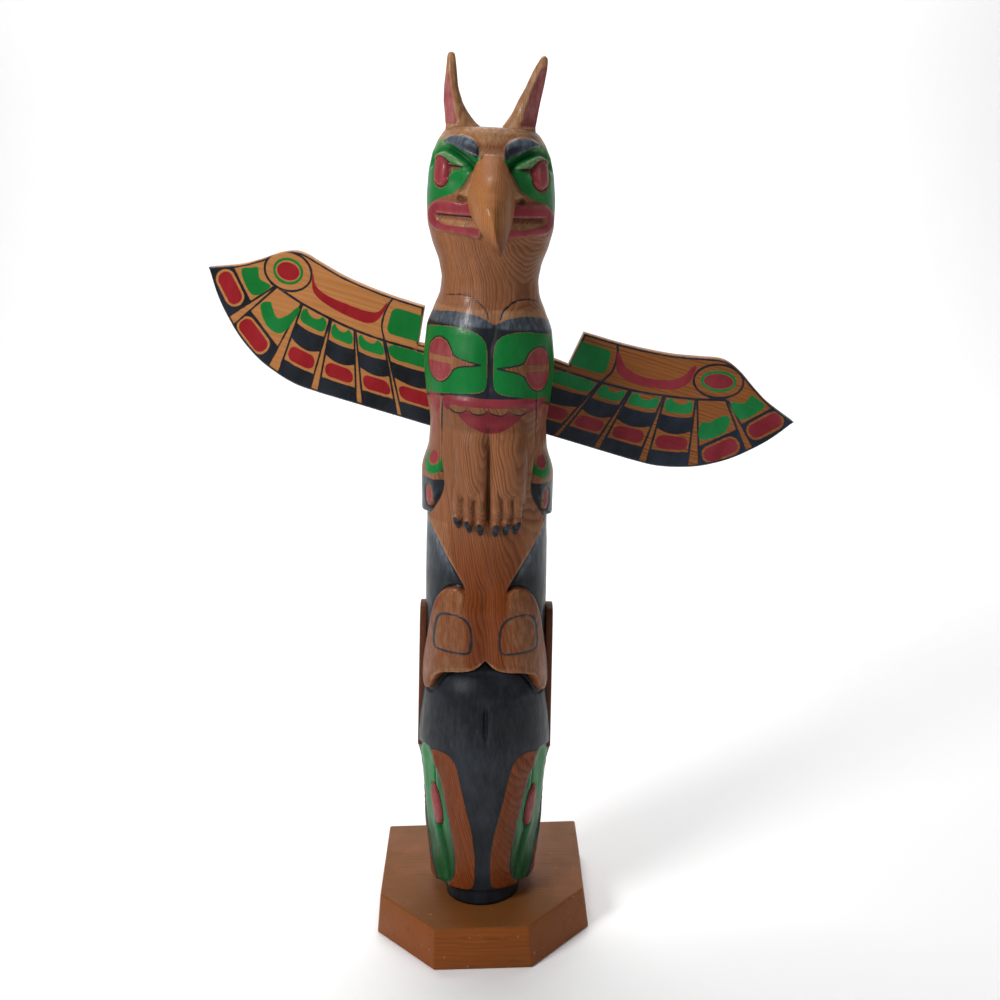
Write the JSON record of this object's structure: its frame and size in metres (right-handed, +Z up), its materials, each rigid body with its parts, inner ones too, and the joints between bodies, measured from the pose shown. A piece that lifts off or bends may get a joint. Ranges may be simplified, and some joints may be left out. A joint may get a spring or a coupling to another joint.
{
  "type": "carved totem pole",
  "caption": "Carved and painted cedar totem pole: a thunderbird with spread wings standing on a diving killer whale, on a board base.",
  "frame": {"origin": "centre of the base's underside", "axes": "+Z up the pole, -Y the way the bird's face looks, +X to the right of someone who looks at the face"},
  "size_m": [0.4998, 0.1995, 0.7651],
  "materials": {
    "base_board": "satin",
    "painted_cedar": "satin",
    "beak_cedar": "satin",
    "painted_wing_board": "satin",
    "dark_fin_board": "satin"
  },
  "bodies": {
    "root": {"base": "base_board", "pole": "painted_cedar", "beak": "beak_cedar", "wing_left": "painted_wing_board", "wing_right": "painted_wing_board", "fin_left": "dark_fin_board", "fin_right": "dark_fin_board"}
  },
  "joints": []
}
